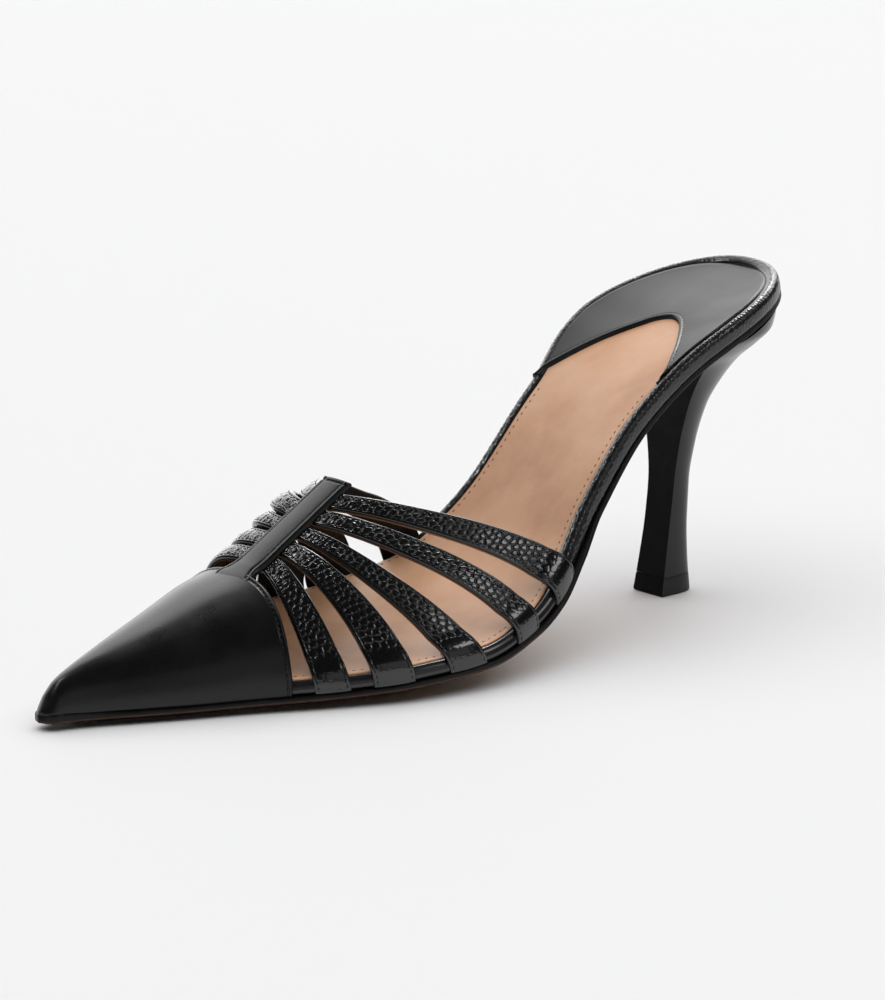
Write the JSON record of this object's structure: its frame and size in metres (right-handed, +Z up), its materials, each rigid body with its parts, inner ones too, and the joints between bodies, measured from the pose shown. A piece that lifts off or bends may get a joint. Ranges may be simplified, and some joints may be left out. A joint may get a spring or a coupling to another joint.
{
  "type": "mule shoe",
  "caption": "Pointed mule on a slim high heel, with embossed straps fanning from a folded bar on the instep to the edges of the sole.",
  "frame": {"origin": "on the floor, under the middle of the shoe's box", "axes": "+X from the toe to the heel, +Y to the inner side of the foot, +Z up"},
  "size_m": [0.2376, 0.0828, 0.0857],
  "materials": {
    "strap_leather": "glossy snake-embossed leather, smooth on the toe cap",
    "satin_leather": "satin smooth leather, folded",
    "sock_leather": "matt tan lining leather with a black rim",
    "sole_leather": "thin leather sole with a dyed edge",
    "heel_cover": "smooth satin leather over a moulded heel",
    "lift_rubber": "matt hard rubber"
  },
  "bodies": {
    "root": {"upper": "strap_leather", "centre_bar": "satin_leather", "footbed": "sock_leather", "outsole": "sole_leather", "heel": "heel_cover", "top_lift": "lift_rubber"}
  },
  "joints": []
}
